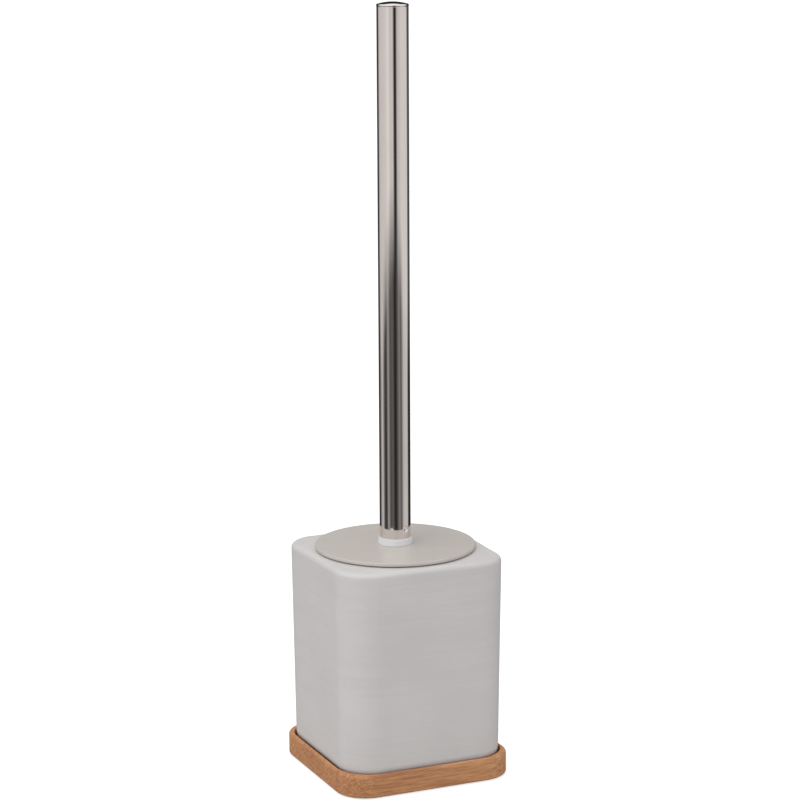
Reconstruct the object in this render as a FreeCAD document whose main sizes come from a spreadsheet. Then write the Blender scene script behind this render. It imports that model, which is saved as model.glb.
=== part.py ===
"""Toilet brush in a square ceramic pot on a bamboo tray.

The pot stands in a recess of the tray and lifts out of it. The brush hangs in the pot from its round
lid: a stainless tube screws onto the stud of a tufted brush head, and clamps a white neck collar
and the lid between itself and the head's shoulder.

Frame: millimetres, +Z up, origin on the floor under the middle of the tray. The tray's sides lie
along X and Y. Every size is a cell of the "sizes" sheet, and every piece is bound to those cells.
"""

import FreeCAD, Part

import math
import os

import Sketcher

DRIVING_SIZES = {
    # bamboo tray and its feet
    "tray_width": 93.6,
    "tray_thick": 12.0,
    "tray_corner": 15.5,
    "tray_top_round": 1.6,
    "tray_bottom_round": 1.0,
    "recess_depth": 4.0,
    "recess_gap": 0.6,
    "recess_round": 0.3,
    "pad_dia": 10.0,
    "pad_thick": 1.5,
    "pad_sink": 1.0,
    "pad_gap": 0.3,
    "pad_inset": 15.0,
    # ceramic pot
    "pot_foot_width": 88.0,
    "pot_top_width": 91.0,
    "pot_corner": 17.2,
    "pot_tall": 107.9,
    "pot_wall": 5.2,
    "pot_floor": 7.0,
    "pot_floor_round": 4.0,
    "pot_shoulder": 6.0,
    "pot_rim_round": 2.5,
    "pot_base_round": 1.0,
    "mouth_dia": 76.0,
    "mouth_round": 1.5,
    "foot_ring_width": 7.0,
    "foot_ring_tall": 1.6,
    # lid
    "lid_dia": 82.5,
    "lid_thick": 2.3,
    "lid_edge_round": 0.7,
    "lid_ring_gap": 0.5,
    "lid_ring_wall": 1.6,
    "lid_ring_drop": 4.0,
    # neck collar, stud and their running gap
    "collar_lip": 0.6,
    "collar_flare": 0.35,
    "collar_top_dia": "=tube_dia + 2 * collar_lip",
    "collar_base_dia": "=collar_top_dia + 2 * collar_flare",
    "collar_tall": 3.7,
    "stud_dia": 10.0,
    "stud_reach": 13.5,
    "run_gap": 0.1,
    # handle
    "tube_dia": 16.0,
    "tube_wall": 0.8,
    "tube_long": 269.2,
    "fit_gap": 0.03,
    "plug_long": 28.0,
    "plug_bore_spare": 2.0,
    "cap_brim": 1.0,
    "cap_dome": 1.25,
    "cap_overhang": 0.15,
    "cap_skirt": 10.0,
    "cap_skirt_wall": 1.4,
    "pin_dia": 1.6,
    "pin_bite": 1.1,
    "pin_proud": 0.15,
    "pin_up": 5.0,
    "pin_bearing": -70.0,
    # brush head
    "shoulder_dia": 18.0,
    "shoulder_thick": 3.0,
    "neck_dia": 14.0,
    "neck_drop": 16.0,
    "core_dia": 24.0,
    "core_nose_flat": 0.5,
    "core_shoulder_cone": 2.0,
    "head_dia": 65.0,
    "row_count": 7,
    "row_pitch": 7.5,
    "row_first_drop": 6.0,
    "nose_gap": 4.0,
    "nose_reach": 20.0,
    "tufts_in_row": 12,
    "hole_dia": 3.4,
    "hole_depth": 4.0,
    "tuft_root_dia": 1.9,
    "tuft_tip_dia": 8.0,
    "nose_tuft_tip_dia": 6.4,
}

# Tufts on the nose of the core: angle from straight down, and how many in that ring.
NOSE_RINGS = ((0.0, 1), (38.0, 6), (70.0, 10))

FULL_TURN = 360.0
AXIS_X = FreeCAD.Vector(1, 0, 0)
AXIS_Z = FreeCAD.Vector(0, 0, 1)

# Levels above the floor and radii that several pieces share, as expressions of the sheet.
PAD_PROUD = "(sizes.pad_thick - sizes.pad_sink)"
TRAY_TOP = f"({PAD_PROUD} + sizes.tray_thick)"
POT_BASE = f"({TRAY_TOP} - sizes.recess_depth)"
POT_TOP = f"({POT_BASE} + sizes.pot_tall)"
POT_FLOOR = f"({POT_BASE} + sizes.pot_floor)"
LID_TOP = f"({POT_TOP} + sizes.lid_thick)"
TUBE_BASE = f"({LID_TOP} + sizes.collar_tall)"
TUBE_TOP = f"({TUBE_BASE} + sizes.tube_long)"
STUD_TOP = f"({TUBE_BASE} + sizes.stud_reach)"
CORE_TOP = f"({POT_TOP} - sizes.neck_drop)"
FIRST_ROW = f"({CORE_TOP} - sizes.row_first_drop)"
LAST_ROW = f"({FIRST_ROW} - (sizes.row_count - 1) * sizes.row_pitch)"
NOSE_CENTRE = f"({LAST_ROW} - sizes.nose_gap)"
STUD_RADIUS = "(sizes.stud_dia / 2)"
BORE_RADIUS = f"({STUD_RADIUS} + sizes.run_gap)"
TUBE_BORE_RADIUS = "(sizes.tube_dia / 2 - sizes.tube_wall)"
PLUG_RADIUS = f"({TUBE_BORE_RADIUS} - sizes.fit_gap)"
CORE_RADIUS = "(sizes.core_dia / 2)"


# ---------------------------------------------------------------- helpers


def make_sheet(doc):
    """The driving sizes, one row each: name, value or formula with the name as its alias."""
    sheet = doc.addObject("Spreadsheet::Sheet", "sizes")
    for row, (name, size) in enumerate(DRIVING_SIZES.items(), start=1):
        sheet.set(f"A{row}", name)
        sheet.set(f"B{row}", str(size))
        sheet.setAlias(f"B{row}", name)
    doc.recompute()
    return sheet


def measure(doc, expression):
    """The number that an expression of the sheet has now."""
    found = doc.getObject("sizes").evalExpression(expression)
    return float(getattr(found, "Value", found))


def new_body(doc, label):
    body = doc.addObject("PartDesign::Body", label)
    body.Label = label
    return body


def origin_plane(body, role):
    return next(o for o in body.Origin.OriginFeatures if o.Role == role)


def new_sketch(body, name, role, level=None):
    """A sketch on one of the body's own origin planes, raised by an expression."""
    sketch = body.newObject("Sketcher::SketchObject", name)
    sketch.AttachmentSupport = (origin_plane(body, role), [""])
    sketch.MapMode = "FlatFace"
    if level:
        sketch.setExpression("AttachmentOffset.Base.z", level)
    return sketch


def square_sketch(doc, body, name, level, width, corner):
    """A square with round corners about the Z axis. Width and corner are expressions."""
    sketch = new_sketch(body, name, "XY_Plane", level)
    radius = measure(doc, corner)
    flat = measure(doc, width) / 2 - radius
    for k in range(4):
        turn = FreeCAD.Rotation(AXIS_Z, 90.0 * k)
        centre = turn.multVec(FreeCAD.Vector(flat, flat, 0))
        circle = Part.Circle(centre, AXIS_Z, radius)
        quarter = math.radians(90.0 * k)
        sketch.addGeometry(Part.ArcOfCircle(circle, quarter, quarter + math.pi / 2))
        start = turn.multVec(FreeCAD.Vector(flat, flat + radius, 0))
        end = turn.multVec(FreeCAD.Vector(-flat, flat + radius, 0))
        sketch.addGeometry(Part.LineSegment(start, end))
    for k in range(8):
        sketch.addConstraint(Sketcher.Constraint("Tangent", k, 2, (k + 1) % 8, 1))
    for k in (1, 5):
        sketch.addConstraint(Sketcher.Constraint("Horizontal", k))
    for k in (2, 4, 6):
        sketch.addConstraint(Sketcher.Constraint("Equal", 0, k))
    sketch.addConstraint(Sketcher.Constraint("Equal", 1, 3))
    sketch.addConstraint(Sketcher.Constraint("Symmetric", 0, 3, 4, 3, -1, 1))
    sketch.addConstraint(Sketcher.Constraint("Radius", 0, radius))
    sketch.renameConstraint(sketch.ConstraintCount - 1, "corner")
    sketch.addConstraint(Sketcher.Constraint("DistanceX", 4, 3, 0, 3, 2 * flat))
    sketch.renameConstraint(sketch.ConstraintCount - 1, "centres")
    sketch.setExpression("Constraints.corner", corner)
    sketch.setExpression("Constraints.centres", f"{width} - 2 * {corner}")
    return sketch


def circle_sketch(doc, body, name, level, radius):
    """A circle about the Z axis."""
    sketch = new_sketch(body, name, "XY_Plane", level)
    size = measure(doc, radius)
    sketch.addGeometry(Part.Circle(FreeCAD.Vector(), AXIS_Z, size))
    sketch.addConstraint(Sketcher.Constraint("Coincident", 0, 3, -1, 1))
    sketch.addConstraint(Sketcher.Constraint("Radius", 0, size))
    sketch.renameConstraint(1, "radius")
    sketch.setExpression("Constraints.radius", radius)
    return sketch


def turned(doc, label, outline):
    """A body turned about Z from a closed outline of (radius, level) expressions.

    A radius of None lies on the axis.
    """
    body = new_body(doc, label)
    sketch = new_sketch(body, label + "_outline", "XZ_Plane")
    corners = [
        FreeCAD.Vector(measure(doc, radius) if radius else 0.0, measure(doc, level), 0)
        for radius, level in outline
    ]
    count = len(corners)
    for k in range(count):
        sketch.addGeometry(Part.LineSegment(corners[k], corners[(k + 1) % count]))
    for k, (radius, level) in enumerate(outline):
        sketch.addConstraint(Sketcher.Constraint("Coincident", k - 1 if k else count - 1, 2, k, 1))
        if radius:
            sketch.addConstraint(Sketcher.Constraint("DistanceX", -1, 1, k, 1, corners[k].x))
            sketch.renameConstraint(sketch.ConstraintCount - 1, f"radius{k}")
            sketch.setExpression(f"Constraints.radius{k}", radius)
        else:
            sketch.addConstraint(Sketcher.Constraint("PointOnObject", k, 1, -2))
        sketch.addConstraint(Sketcher.Constraint("DistanceY", -1, 1, k, 1, corners[k].y))
        sketch.renameConstraint(sketch.ConstraintCount - 1, f"level{k}")
        sketch.setExpression(f"Constraints.level{k}", level)
    turn = body.newObject("PartDesign::Revolution", label + "_turned")
    turn.Profile = sketch
    turn.ReferenceAxis = (sketch, ["V_Axis"])
    turn.Angle = FULL_TURN
    doc.recompute()
    return body


def edges_at(feature, level, low_reach, high_reach):
    """Names of the edges that lie flat at a level, with their furthest point from the axis in a range."""
    found = []
    for number, edge in enumerate(feature.Shape.Edges, start=1):
        box = edge.BoundBox
        reach = max(abs(box.XMin), abs(box.XMax), abs(box.YMin), abs(box.YMax))
        flat = box.ZLength < 1e-3 and abs(box.ZMin - level) < 1e-3
        if flat and low_reach <= reach <= high_reach:
            found.append(f"Edge{number}")
    return found


def rounded(doc, body, name, level, low_reach, high_reach, radius):
    """Rounds the edges of the body's last feature that edges_at finds."""
    last = body.Tip
    names = edges_at(last, measure(doc, level), low_reach, high_reach)
    if not names:
        raise RuntimeError(f"{name} found no edge to round")
    fillet = body.newObject("PartDesign::Fillet", name)
    fillet.Base = (last, names)
    fillet.setExpression("Radius", radius)
    doc.recompute()
    return fillet


def cylinder(doc, name, radius, height, level):
    """A Part cylinder standing about Z on a level; all three are expressions."""
    made = doc.addObject("Part::Cylinder", name)
    made.setExpression("Radius", radius)
    made.setExpression("Height", height)
    made.setExpression("Placement.Base.z", level)
    return made


def cut(doc, label, base, tool):
    made = doc.addObject("Part::Cut", label)
    made.Base = base
    made.Tool = tool
    return made


# ---------------------------------------------------------------- tray


def pad_centres(doc):
    """The middles of the four anti-slip pads under the tray."""
    reach = measure(doc, "sizes.tray_width / 2 - sizes.pad_inset")
    return [FreeCAD.Vector(x * reach, y * reach, 0) for x in (-1, 1) for y in (-1, 1)]


def bamboo_tray(doc):
    """A square board with a recess for the pot's foot and a shallow pocket for each pad."""
    body = new_body(doc, "bamboo_tray")
    outline = square_sketch(
        doc, body, "tray_outline", PAD_PROUD, "sizes.tray_width", "sizes.tray_corner"
    )
    board = body.newObject("PartDesign::Pad", "tray_board")
    board.Profile = outline
    board.setExpression("Length", "sizes.tray_thick")
    doc.recompute()
    half = measure(doc, "sizes.tray_width") / 2
    rounded(doc, body, "tray_top_edge", TRAY_TOP, 0, half + 1, "sizes.tray_top_round")
    rounded(doc, body, "tray_bottom_edge", PAD_PROUD, 0, half + 1, "sizes.tray_bottom_round")

    recess_outline = square_sketch(
        doc,
        body,
        "recess_outline",
        TRAY_TOP,
        "(sizes.pot_foot_width + 2 * sizes.recess_gap)",
        "(sizes.pot_corner + sizes.recess_gap)",
    )
    recess = body.newObject("PartDesign::Pocket", "tray_recess")
    recess.Profile = recess_outline
    recess.setExpression("Length", "sizes.recess_depth")
    doc.recompute()
    wall = measure(doc, "sizes.pot_foot_width / 2 + sizes.recess_gap")
    rounded(doc, body, "recess_edge", TRAY_TOP, 0, wall + 0.01, "sizes.recess_round")

    pockets = new_sketch(body, "pad_pockets_outline", "XY_Plane", PAD_PROUD)
    for k, centre in enumerate(pad_centres(doc)):
        pockets.addGeometry(Part.Circle(centre, AXIS_Z, measure(doc, "sizes.pad_dia / 2")))
        pockets.addConstraint(Sketcher.Constraint("Radius", k, 1.0))
        pockets.renameConstraint(pockets.ConstraintCount - 1, f"radius{k}")
        pockets.setExpression(f"Constraints.radius{k}", "sizes.pad_dia / 2 + sizes.pad_gap")
    pocket = body.newObject("PartDesign::Pocket", "pad_pockets")
    pocket.Profile = pockets
    pocket.Reversed = True
    pocket.setExpression("Length", "sizes.pad_sink")
    doc.recompute()
    return body


def tray_pads(doc):
    """Four foam anti-slip pads, sunk a little into the tray's underside."""
    group = doc.addObject("Part::Compound", "tray_pads")
    pads = []
    for k, centre in enumerate(pad_centres(doc)):
        pad = cylinder(doc, f"tray_pad_{k + 1}", "sizes.pad_dia / 2", "sizes.pad_thick", "0")
        pad.Placement.Base = centre
        pads.append(pad)
    group.Links = pads
    return group


# ---------------------------------------------------------------- pot


def ceramic_pot(doc):
    """A slip-cast pot: square outside and inside, a little wider at the top, with a round mouth."""
    lean = "(sizes.pot_top_width - sizes.pot_foot_width) / (2 * sizes.pot_tall)"
    half = measure(doc, "sizes.pot_top_width") / 2
    body = new_body(doc, "ceramic_pot")
    foot = square_sketch(
        doc, body, "pot_foot_outline", POT_BASE, "sizes.pot_foot_width", "sizes.pot_corner"
    )
    outside = body.newObject("PartDesign::Pad", "pot_outside")
    outside.Profile = foot
    outside.setExpression("Length", "sizes.pot_tall")
    outside.setExpression("TaperAngle", f"atan({lean})")
    doc.recompute()
    rounded(doc, body, "pot_rim_edge", POT_TOP, 0, half + 1, "sizes.pot_rim_round")
    rounded(doc, body, "pot_base_edge", POT_BASE, 0, half + 1, "sizes.pot_base_round")

    # The cavity's walls lean out like the outside, so the wall is the same all the way up.
    inset = f"({lean} * sizes.pot_floor - sizes.pot_wall)"
    floor = square_sketch(
        doc,
        body,
        "cavity_outline",
        POT_FLOOR,
        f"(sizes.pot_foot_width + 2 * {inset})",
        f"(sizes.pot_corner + {inset})",
    )
    cavity = body.newObject("PartDesign::Pocket", "pot_cavity")
    cavity.Profile = floor
    cavity.Reversed = True
    cavity.setExpression("Length", "sizes.pot_tall - sizes.pot_floor - sizes.pot_shoulder")
    cavity.setExpression("TaperAngle", f"atan({lean})")
    doc.recompute()
    rounded(doc, body, "cavity_floor_edge", POT_FLOOR, 0, half, "sizes.pot_floor_round")

    mouth_outline = circle_sketch(doc, body, "mouth_outline", POT_TOP, "sizes.mouth_dia / 2")
    mouth = body.newObject("PartDesign::Pocket", "pot_mouth")
    mouth.Profile = mouth_outline
    mouth.setExpression("Length", "sizes.pot_shoulder + sizes.pot_wall")
    doc.recompute()
    mouth_radius = measure(doc, "sizes.mouth_dia") / 2
    rounded(doc, body, "mouth_edge", POT_TOP, 0, mouth_radius + 0.01, "sizes.mouth_round")

    hollow_outline = square_sketch(
        doc,
        body,
        "foot_hollow_outline",
        POT_BASE,
        "(sizes.pot_foot_width - 2 * sizes.foot_ring_width)",
        "(sizes.pot_corner - sizes.foot_ring_width)",
    )
    hollow = body.newObject("PartDesign::Pocket", "foot_hollow")
    hollow.Profile = hollow_outline
    hollow.Reversed = True
    hollow.setExpression("Length", "sizes.foot_ring_tall")
    doc.recompute()
    return body


# ---------------------------------------------------------------- lid and collar


def lid_disc(doc):
    """A flat disc with a ring under it that centres it in the pot's mouth, and a hole for the stud."""
    ring_out = "(sizes.mouth_dia / 2 - sizes.lid_ring_gap)"
    ring_in = f"({ring_out} - sizes.lid_ring_wall)"
    ring_base = f"{POT_TOP} - sizes.lid_ring_drop"
    body = turned(
        doc,
        "lid_disc",
        [
            (BORE_RADIUS, POT_TOP),
            (ring_in, POT_TOP),
            (ring_in, ring_base),
            (ring_out, ring_base),
            (ring_out, POT_TOP),
            ("sizes.lid_dia / 2", POT_TOP),
            ("sizes.lid_dia / 2", LID_TOP),
            (BORE_RADIUS, LID_TOP),
        ],
    )
    edge = measure(doc, "sizes.lid_dia") / 2
    rounded(doc, body, "lid_top_edge", LID_TOP, edge - 0.01, edge + 0.01, "sizes.lid_edge_round")
    rounded(doc, body, "lid_under_edge", POT_TOP, edge - 0.01, edge + 0.01, "sizes.lid_edge_round")
    return body


def neck_collar(doc):
    """A white ring on the stud that keeps the tube's cut end off the lid."""
    return turned(
        doc,
        "neck_collar",
        [
            (BORE_RADIUS, LID_TOP),
            ("sizes.collar_base_dia / 2", LID_TOP),
            ("sizes.collar_top_dia / 2", TUBE_BASE),
            (BORE_RADIUS, TUBE_BASE),
        ],
    )


# ---------------------------------------------------------------- handle


def pin_piece(doc, name, radius, inner, outer):
    """A cylinder that lies along the pin's bearing, from an inner to an outer radius of the handle."""
    made = doc.addObject("Part::Cylinder", name)
    made.setExpression("Radius", radius)
    made.setExpression("Height", f"{outer} - {inner}")
    bearing = math.radians(measure(doc, "sizes.pin_bearing"))
    outward = FreeCAD.Vector(math.cos(bearing), math.sin(bearing), 0)
    level = measure(doc, f"{TUBE_BASE} + sizes.pin_up")
    start = outward * measure(doc, inner) + AXIS_Z * level
    made.Placement = FreeCAD.Placement(start, FreeCAD.Rotation(AXIS_Z, outward))
    return made


def handle_pieces(doc):
    """The tube, its domed cap, the threaded plug in its lower end and the pin that locks the plug."""
    pin_root = f"({PLUG_RADIUS} - sizes.pin_bite)"
    past_tube = "(sizes.tube_dia / 2 + sizes.pin_dia)"
    pin_hole = "(sizes.pin_dia / 2 + sizes.fit_gap)"

    whole_tube = turned(
        doc,
        "tube_blank",
        [
            (TUBE_BORE_RADIUS, TUBE_BASE),
            ("sizes.tube_dia / 2", TUBE_BASE),
            ("sizes.tube_dia / 2", TUBE_TOP),
            (TUBE_BORE_RADIUS, TUBE_TOP),
        ],
    )
    bore_top = f"({STUD_TOP} + sizes.plug_bore_spare)"
    whole_plug = turned(
        doc,
        "plug_blank",
        [
            (BORE_RADIUS, TUBE_BASE),
            (PLUG_RADIUS, TUBE_BASE),
            (PLUG_RADIUS, f"{TUBE_BASE} + sizes.plug_long"),
            (None, f"{TUBE_BASE} + sizes.plug_long"),
            (None, bore_top),
            (BORE_RADIUS, bore_top),
        ],
    )
    tube_drill = pin_piece(doc, "tube_drill", pin_hole, pin_root, past_tube)
    plug_drill = pin_piece(doc, "plug_drill", pin_hole, pin_root, past_tube)
    tube = cut(doc, "handle_tube", whole_tube, tube_drill)
    plug = cut(doc, "thread_plug", whole_plug, plug_drill)
    pin_head = "(sizes.tube_dia / 2 + sizes.pin_proud)"
    pin = pin_piece(doc, "lock_pin", "sizes.pin_dia / 2", pin_root, pin_head)
    return [tube, plug, pin, handle_cap(doc)]


def handle_cap(doc):
    """A cap with a shallow spherical dome, and a hollow skirt pressed into the tube."""
    cap_radius = "(sizes.tube_dia / 2 + sizes.cap_overhang)"
    crown = f"({TUBE_TOP} + sizes.cap_brim + sizes.cap_dome)"
    ball_radius = f"(({cap_radius} ^ 2 + sizes.cap_dome ^ 2) / (2 * sizes.cap_dome))"
    disc = cylinder(doc, "cap_disc", cap_radius, "sizes.cap_brim + sizes.cap_dome", TUBE_TOP)
    ball = doc.addObject("Part::Sphere", "cap_ball")
    ball.setExpression("Radius", ball_radius)
    ball.setExpression("Placement.Base.z", f"{crown} - {ball_radius}")
    dome = doc.addObject("Part::Common", "cap_dome")
    dome.Base = disc
    dome.Tool = ball
    skirt_base = f"({TUBE_TOP} - sizes.cap_skirt)"
    skirt_tall = "sizes.cap_skirt + sizes.cap_brim / 2"
    skirt = cylinder(doc, "cap_skirt_outside", PLUG_RADIUS, skirt_tall, skirt_base)
    hollow = cylinder(
        doc,
        "cap_skirt_hollow",
        f"{PLUG_RADIUS} - sizes.cap_skirt_wall",
        "sizes.cap_skirt",
        skirt_base,
    )
    whole = doc.addObject("Part::Fuse", "cap_whole")
    whole.Base = dome
    whole.Tool = skirt
    return cut(doc, "handle_cap", whole, hollow)


# ---------------------------------------------------------------- brush head


def tuft_lines(doc):
    """Where each tuft stands, by group: (a point on the core's axis, direction, tip distance)."""
    groups = {}
    reach = measure(doc, "sizes.head_dia / 2")
    count = int(measure(doc, "sizes.tufts_in_row"))
    pitch = measure(doc, "sizes.row_pitch")
    first = measure(doc, FIRST_ROW)
    for row in range(int(measure(doc, "sizes.row_count"))):
        level = AXIS_Z * (first - row * pitch)
        half_step = 0.5 * (row % 2)
        lines = []
        for k in range(count):
            bearing = 2 * math.pi * (k + half_step) / count
            lines.append((level, FreeCAD.Vector(math.cos(bearing), math.sin(bearing), 0), reach))
        groups[f"bristle_row_{row + 1}"] = lines
    centre = AXIS_Z * measure(doc, NOSE_CENTRE)
    drop = measure(doc, "sizes.nose_reach")
    lines = []
    for tilt, in_ring in NOSE_RINGS:
        angle = math.radians(tilt)
        # The tips lie on an ellipsoid as wide as the head and nose_reach deep.
        tip = 1 / math.hypot(math.sin(angle) / reach, math.cos(angle) / drop)
        for k in range(in_ring):
            bearing = 2 * math.pi * k / in_ring
            side = math.sin(angle)
            way = FreeCAD.Vector(side * math.cos(bearing), side * math.sin(bearing), -math.cos(angle))
            lines.append((centre, way, tip))
    groups["bristle_nose"] = lines
    return groups


def cone_along(start, way, near, far, near_radius, far_radius):
    """A straight or tapered round bar along a direction, from a near to a far distance."""
    if abs(near_radius - far_radius) < 1e-9:
        return Part.makeCylinder(near_radius, far - near, start + way * near, way)
    return Part.makeCone(near_radius, far_radius, far - near, start + way * near, way)


def bristle_groups(doc):
    """Each row's tufts as one group of separate flaring bundles, seated on the ends of their holes."""
    root = measure(doc, f"{CORE_RADIUS} - sizes.hole_depth")
    root_radius = measure(doc, "sizes.tuft_root_dia") / 2
    made = []
    for name, lines in tuft_lines(doc).items():
        wide = "sizes.nose_tuft_tip_dia" if name == "bristle_nose" else "sizes.tuft_tip_dia"
        tip_radius = measure(doc, wide) / 2
        tufts = [cone_along(at, way, root, tip, root_radius, tip_radius) for at, way, tip in lines]
        group = doc.addObject("Part::Feature", name)
        group.Shape = Part.Compound(tufts)
        made.append(group)
    return made


def brush_core(doc):
    """The moulded core: stud, shoulder under the lid, neck, and a body drilled for the tufts."""
    body = turned(
        doc,
        "core_blank",
        [
            (None, f"{NOSE_CENTRE} - {CORE_RADIUS}"),
            (CORE_RADIUS, f"{NOSE_CENTRE} - {CORE_RADIUS}"),
            (CORE_RADIUS, f"{CORE_TOP} - sizes.core_shoulder_cone"),
            ("sizes.neck_dia / 2", CORE_TOP),
            ("sizes.neck_dia / 2", f"{POT_TOP} - sizes.shoulder_thick"),
            ("sizes.shoulder_dia / 2", f"{POT_TOP} - sizes.shoulder_thick"),
            ("sizes.shoulder_dia / 2", POT_TOP),
            (STUD_RADIUS, POT_TOP),
            (STUD_RADIUS, STUD_TOP),
            (None, STUD_TOP),
        ],
    )
    rounded(
        doc,
        body,
        "core_nose",
        f"{NOSE_CENTRE} - {CORE_RADIUS}",
        0,
        measure(doc, CORE_RADIUS) + 0.01,
        f"{CORE_RADIUS} - sizes.core_nose_flat",
    )
    near = measure(doc, f"{CORE_RADIUS} - sizes.hole_depth")
    far = measure(doc, "sizes.core_dia")
    radius = measure(doc, "sizes.hole_dia / 2")
    drills = doc.addObject("Part::Feature", "tuft_drills")
    drills.Shape = Part.Compound(
        [
            cone_along(at, way, near, far, radius, radius)
            for lines in tuft_lines(doc).values()
            for at, way, _ in lines
        ]
    )
    return cut(doc, "brush_core", body, drills)


# ---------------------------------------------------------------- document


def check(doc, pieces):
    """Stops if any object failed, or a piece has no valid solid."""
    for thing in doc.Objects:
        if {"Invalid", "Error"} & set(thing.State):
            raise RuntimeError(f"{thing.Label} failed: {thing.State}")
    for piece in pieces:
        shape = piece.Shape
        if shape.isNull() or not shape.isValid() or not shape.Solids:
            raise RuntimeError(f"{piece.Label} has no valid solid")


def main():
    doc = FreeCAD.newDocument("toilet_brush_holder")
    make_sheet(doc)
    pieces = [bamboo_tray(doc), tray_pads(doc), ceramic_pot(doc), lid_disc(doc), neck_collar(doc)]
    pieces += handle_pieces(doc)
    pieces += [brush_core(doc), *bristle_groups(doc)]
    doc.recompute()
    check(doc, pieces)
    os.makedirs("parts", exist_ok=True)
    for piece in pieces:
        piece.Shape.exportStep(os.path.join("parts", piece.Label + ".step"))
        solids = len(piece.Shape.Solids)
        print(f"{piece.Label}: {solids} solids, {piece.Shape.Volume / 1000:.2f} cm3")


main()
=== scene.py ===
import math

import bpy
import numpy as np
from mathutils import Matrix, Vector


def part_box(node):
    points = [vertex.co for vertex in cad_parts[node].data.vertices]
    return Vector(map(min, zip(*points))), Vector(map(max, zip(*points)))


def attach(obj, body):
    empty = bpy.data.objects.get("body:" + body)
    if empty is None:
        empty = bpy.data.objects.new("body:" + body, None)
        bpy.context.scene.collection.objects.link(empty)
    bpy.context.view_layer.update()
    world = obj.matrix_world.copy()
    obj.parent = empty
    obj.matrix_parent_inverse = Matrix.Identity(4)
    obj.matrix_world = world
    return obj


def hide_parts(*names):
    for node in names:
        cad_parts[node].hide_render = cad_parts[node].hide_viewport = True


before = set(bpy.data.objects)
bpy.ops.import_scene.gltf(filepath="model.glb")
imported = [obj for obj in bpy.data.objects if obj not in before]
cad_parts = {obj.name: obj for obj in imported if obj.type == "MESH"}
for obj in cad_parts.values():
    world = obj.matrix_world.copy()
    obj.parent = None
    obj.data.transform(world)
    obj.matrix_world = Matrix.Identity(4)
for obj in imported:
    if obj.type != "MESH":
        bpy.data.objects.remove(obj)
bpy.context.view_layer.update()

bl_info = {
    "name": "Toilet brush and pot",
    "version": (1, 0, 0),
    "blender": (4, 5, 0),
    "location": "3D View > Sidebar > Brush",
    "description": "Builds the surfaces, finishes and studio of a toilet brush in a ceramic pot",
    "category": "Object",
}

MM = 0.001
ARC_STEPS = 6
FULL_TURN = 2 * math.pi
TINY = 1e-12
BRISTLE_ROWS = sorted(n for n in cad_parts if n.startswith("bristle_row_"))


# ---- sizes read from the frame


def low(node, axis=2):
    """The lowest coordinate of a CAD node along an axis, in metres."""
    return float(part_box(node)[0][axis])


def high(node, axis=2):
    """The highest coordinate of a CAD node along an axis, in metres."""
    return float(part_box(node)[1][axis])


# ---- outlines and surfaces


def unit(vectors):
    """Each row at length one; a row of zeros stays as it is."""
    return vectors / np.maximum(np.linalg.norm(vectors, axis=-1, keepdims=True), TINY)


def softened(corners):
    """A closed outline with each corner (x, y, radius) turned into an arc touching both its sides.

    With a and b the unit directions to the neighbours and h half the angle between them, the arc's
    centre lies on the bisector at radius / sin h, and it starts and ends radius / tan h from the
    corner. The arc's points turn evenly from one end to the other.
    """
    corners = np.asarray(corners, float)
    here, radius = corners[:, :2], corners[:, 2:]
    a = unit(np.roll(here, 1, 0) - here)
    b = unit(np.roll(here, -1, 0) - here)
    half = 0.5 * np.arccos(np.clip(np.sum(a * b, 1, keepdims=True), -1, 1))
    half = np.clip(half, 1e-3, math.pi / 2 - 1e-3)
    reach = radius / np.tan(half)
    centre = here + unit(a + b) * radius / np.sin(half)
    start, end = here + a * reach - centre, here + b * reach - centre
    sweep = math.pi - 2 * half
    t = np.linspace(0, 1, ARC_STEPS + 1)
    first = (np.sin((1 - t) * sweep) / np.sin(sweep))[:, :, None]
    second = (np.sin(t * sweep) / np.sin(sweep))[:, :, None]
    points = centre[:, None] + first * start[:, None] + second * end[:, None]
    return points.reshape(-1, 2)


def smooth_step(low_end, high_end, x):
    """0 below low_end and 1 above high_end, with 3t^2 - 2t^3 between them."""
    t = np.clip((x - low_end) / (high_end - low_end), 0, 1)
    return t * t * (3 - 2 * t)


def turned(outline, bearings):
    """Points of a surface of revolution: row k is outline point k, column j is bearing j."""
    radius, level = outline[:, :1], outline[:, 1:]
    x, y = radius * np.cos(bearings), radius * np.sin(bearings)
    return np.stack([x, y, level + 0 * bearings], -1)


def all_round(count):
    """Evenly spaced bearings, once round."""
    return np.linspace(0, FULL_TURN, count, endpoint=False)


def heading(bearing):
    """The unit direction of a bearing in the plane."""
    return np.array([math.cos(bearing), math.sin(bearing)])


def square_path(arc_steps=14, side_steps=6):
    """The two parts of a rounded square's path: unit corner centres, and outward directions.

    A rounded square with corner centres m from the middle and corner radius c is m * centres +
    c * outward. Along a side the centre slides from one corner to the next and outward stays.
    """
    quarter = np.linspace(0, math.pi / 2, arc_steps, endpoint=False)
    slide = np.linspace(0, 1, side_steps, endpoint=False)
    centres, outward = [], []
    for k in range(4):
        turn = k * math.pi / 2
        corner = math.sqrt(2) * heading(turn + math.pi / 4)
        onward = math.sqrt(2) * heading(turn + 3 * math.pi / 4)
        side = heading(turn + math.pi / 2)
        angles = turn + quarter
        centres += [np.tile(corner, (arc_steps, 1)), corner + slide[:, None] * (onward - corner)]
        outward += [np.stack([np.cos(angles), np.sin(angles)], -1), np.tile(side, (side_steps, 1))]
    return np.concatenate(centres), np.concatenate(outward)


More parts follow.
